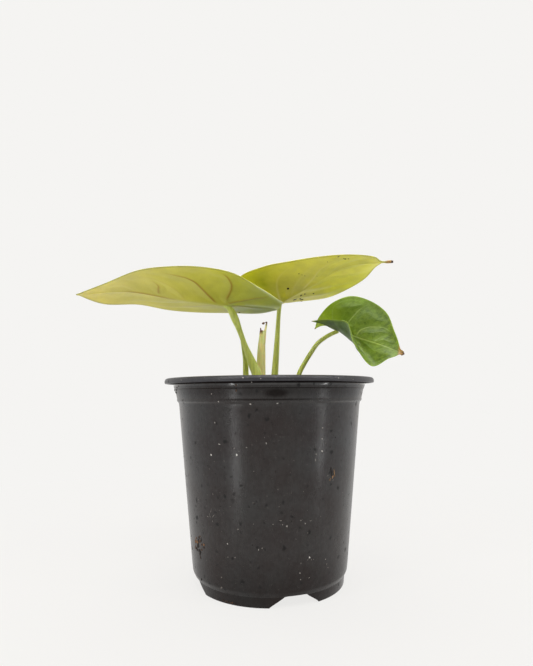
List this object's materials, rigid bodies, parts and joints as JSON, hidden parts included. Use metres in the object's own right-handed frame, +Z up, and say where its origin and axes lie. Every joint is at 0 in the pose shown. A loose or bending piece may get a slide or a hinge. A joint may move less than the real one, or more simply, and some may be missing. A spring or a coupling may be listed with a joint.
{
  "type": "potted golden dragon alocasia",
  "caption": "Young potted alocasia in a tapered black nursery pot, with arrow-shaped golden-green leaves on slender petioles, a small folded leaf and a withered sheath.",
  "frame": {"origin": "on the pot's axis, in the plane that the pot's foot stands on", "axes": "+Z up along the pot's axis, +X to the right and +Y away from the viewer as the picture shows the plant"},
  "size_m": [0.1921, 0.13, 0.187],
  "materials": {
    "pot_plastic": "satin",
    "potting_mix": "matte",
    "petiole": "satin",
    "dry_sheath": "matte",
    "leaf_gold": "satin",
    "leaf_green": "satin"
  },
  "bodies": {
    "root": {"pot": "pot_plastic", "soil": "potting_mix", "petiole_left": "petiole", "petiole_right": "petiole", "petiole_small": "petiole", "sheath": "dry_sheath", "blade_left": "leaf_gold", "blade_right": "leaf_gold", "blade_small": "leaf_green"}
  },
  "joints": []
}
